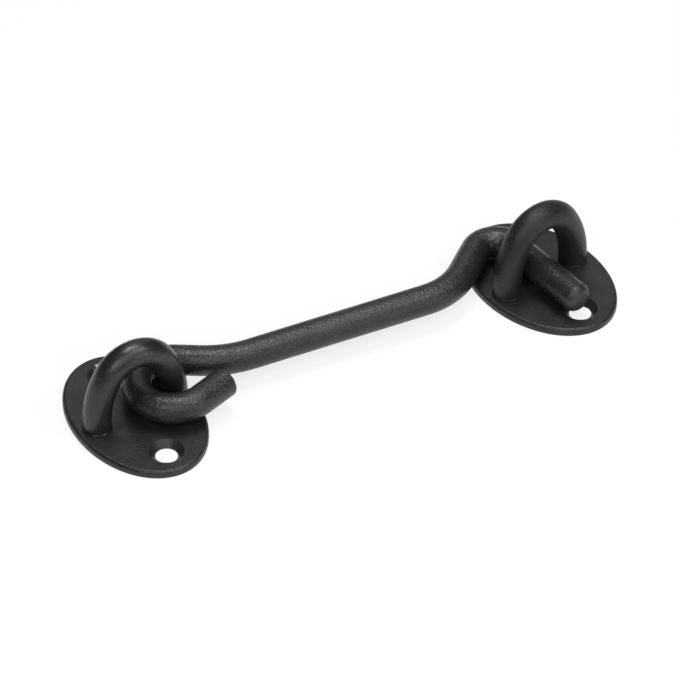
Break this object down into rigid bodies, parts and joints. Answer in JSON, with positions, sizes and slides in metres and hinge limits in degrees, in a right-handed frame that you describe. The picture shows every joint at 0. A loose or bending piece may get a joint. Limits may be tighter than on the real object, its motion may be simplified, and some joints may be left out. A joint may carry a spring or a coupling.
{
  "type": "cabin hook",
  "caption": "Black cabin hook: a bent round-bar hook turns by its eye on a staple riveted to an oval plate, and its peg drops into a like staple on a keeper plate to hold a door shut.",
  "frame": {"origin": "middle of the pivot plate's back face", "axes": "+X along the hook from the pivot to the keeper, +Y up the wall along the pivot plate, +Z out of the wall"},
  "size_m": [0.1322, 0.0468, 0.0224],
  "materials": {
    "bar_coat": "fine-textured satin black powder coat on round steel bar",
    "plate_coat": "satin black powder coat on flat steel"
  },
  "bodies": {
    "plates": {"pivot_plate": "plate_coat", "pivot_staple": "bar_coat", "keeper_plate": "plate_coat", "keeper_staple": "bar_coat"},
    "hook": {"hook_rod": "bar_coat"}
  },
  "joints": [
    {"name": "hook_lift", "type": "hinge", "parent": "plates", "child": "hook", "pos_m": [0.00965, 0, 0.0061], "axis": [0, 0, 1], "range_deg": [-2.5, 155]}
  ]
}
